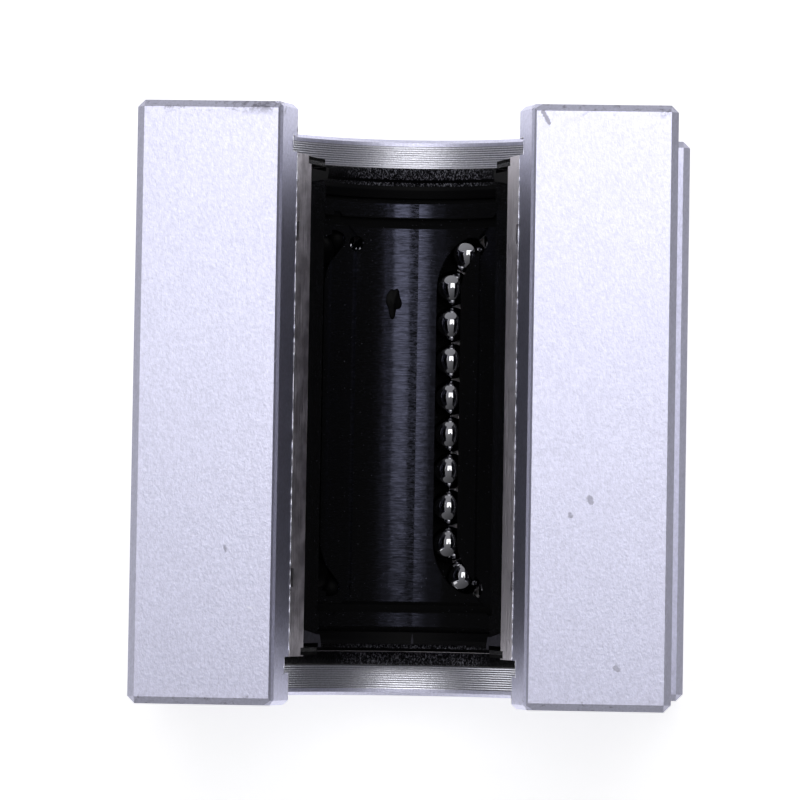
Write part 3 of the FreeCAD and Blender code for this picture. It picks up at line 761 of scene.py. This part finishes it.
# %% Burr tree
burr_tree, size = new_tree("milled_burr", Step=0.0, Thickness=0.0, Shake=0.0)
lines = add(burr_tree, "GeometryNodeMeshToCurve", {"Mesh": size["Geometry"]})
beads = add(burr_tree, "GeometryNodeResampleCurve", {"Curve": lines.outputs[0],
                                                     "Length": size["Step"]}, mode="LENGTH")
spot = add(burr_tree, "GeometryNodeInputPosition").outputs[0]
tremor = add(burr_tree, "ShaderNodeTexNoise", {"Vector": spot, "Scale": 1500.0, "Detail": 2.0})
centred = add(burr_tree, "ShaderNodeVectorMath", {0: tremor.outputs["Color"], 1: (0.5, 0.5, 0.5)},
              operation="SUBTRACT")
push = add(burr_tree, "ShaderNodeVectorMath", {0: centred.outputs[0], "Scale": size["Shake"]},
           operation="SCALE")
shaken = add(burr_tree, "GeometryNodeSetPosition", {"Geometry": beads.outputs[0],
                                                    "Offset": push.outputs[0]})
swell = add(burr_tree, "ShaderNodeTexNoise", {"Vector": spot, "Scale": 1300.0, "Detail": 3.0})
swollen = add(burr_tree, "ShaderNodeMapRange", {0: swell.outputs["Fac"], 1: 0.42, 2: 0.62, 3: 0.08,
                                                4: 1.0})
gauge = add(burr_tree, "ShaderNodeMath", {0: swollen.outputs[0], 1: size["Thickness"]},
            operation="MULTIPLY")
section = add(burr_tree, "GeometryNodeCurvePrimitiveCircle", {"Resolution": 5, "Radius": 1.0})
burr = add(burr_tree, "GeometryNodeCurveToMesh", {"Curve": shaken.outputs[0],
                                                  "Profile Curve": section.outputs[0],
                                                  "Scale": gauge.outputs[0], "Fill Caps": True})

# %% Bare metal of the burrs
bare_metal, tree, point = new_material("torn_bare_aluminium")
torn = add(tree, "ShaderNodeTexNoise", {"Vector": point, "Scale": 4.0, "Detail": 2.0})
tone = add(tree, "ShaderNodeMix", {0: torn.outputs["Fac"], 6: linear("#d8d8e2"),
                                   7: linear("#fafaff")}, data_type="RGBA")
relief = add(tree, "ShaderNodeBump", {"Strength": 0.6, "Distance": 0.05 * MM,
                                      "Height": torn.outputs["Fac"]})
finish_material(bare_metal, tree, Base_Color=tone.outputs[2], Metallic=1.0, Roughness=0.35,
                Normal=relief.outputs[0])
close_tree(burr_tree, burr.outputs[0], bare_metal)

# %% Bake the burrs
bake("slot_burrs", burr_tree, "anodised_aluminium", carrier=edges, Step=0.15 * MM,
     Thickness=0.08 * MM, Shake=0.09 * MM)

# %% [markdown]
# ## A dab of old grease
#
# Near the far end a dab of black grease sticks to the retainer's bore. It is a small mound with a
# ragged outline: rings of points run from the middle to the rim, each lifted off the wall by a
# rounded profile. Its underside is sunk in the wall, so the mound is closed.

# %% Grease mound
wall_gap = 0.45
wall = shaft_radius / MM + wall_gap
sunk = 0.06
middle_turn, middle_y = math.radians(-11.9), 10.0
reach_turn, reach_y, lift = math.radians(3.4), 1.35, 0.20
chance = random.Random(7)
waves = [(chance.uniform(0.05, 0.16), chance.uniform(0, 2 * math.pi)) for _ in range(5)]
grease_form = bmesh.new()


def grease_point(share, turn, height):
    """A vertex of the mound, from its share of the way to the rim, turn and height off the wall."""
    ragged = 1 + sum(size * math.sin((k + 2) * turn + phase)
                     for k, (size, phase) in enumerate(waves))
    angle = middle_turn + reach_turn * share * ragged * math.cos(turn)
    along = middle_y + reach_y * share * ragged * math.sin(turn)
    radius = wall - height
    place = Vector((radius * math.sin(angle), along, axis_height / MM - radius * math.cos(angle)))
    return grease_form.verts.new(place * MM)


steps, rings = 48, 7
loops = []
for k in range(1, rings + 1):
    share = k / rings
    mound = lift * (1 - share ** 3) * (0.8 + 0.2 * math.cos(5 * share))
    loops.append([grease_point(share, 2 * math.pi * j / steps, mound) for j in range(steps)])
loops.append([grease_point(1.0, 2 * math.pi * j / steps, -sunk) for j in range(steps)])
crown = grease_point(0, 0, lift)
foot = grease_point(0, 0, -sunk)
for j in range(steps):
    k = (j + 1) % steps
    grease_form.faces.new((crown, loops[0][j], loops[0][k]))
    grease_form.faces.new((foot, loops[-1][k], loops[-1][j]))
    for one, two in zip(loops, loops[1:]):
        grease_form.faces.new((one[j], two[j], two[k], one[k]))
bmesh.ops.recalc_face_normals(grease_form, faces=grease_form.faces)
for face in grease_form.faces:
    face.smooth = True
grease_mesh = bpy.data.meshes.new("grease_dab")
grease_form.to_mesh(grease_mesh)
grease_form.free()
grease_dab = bpy.data.objects.new("grease_dab", grease_mesh)
bpy.context.collection.objects.link(grease_dab)
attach(grease_dab, "block")
material, tree, point = new_material("black_grease")
lumps = add(tree, "ShaderNodeTexNoise", {"Vector": point, "Scale": 1.6, "Detail": 3.0})
relief = add(tree, "ShaderNodeBump", {"Strength": 0.6, "Distance": 0.08 * MM,
                                      "Height": lumps.outputs["Fac"]})
grease_mesh.materials.append(finish_material(material, tree, Base_Color=linear("#040405"),
                                             Roughness=0.5, Specular_IOR_Level=0.1,
                                             Normal=relief.outputs[0]))
print("grease faces:", len(grease_mesh.polygons))
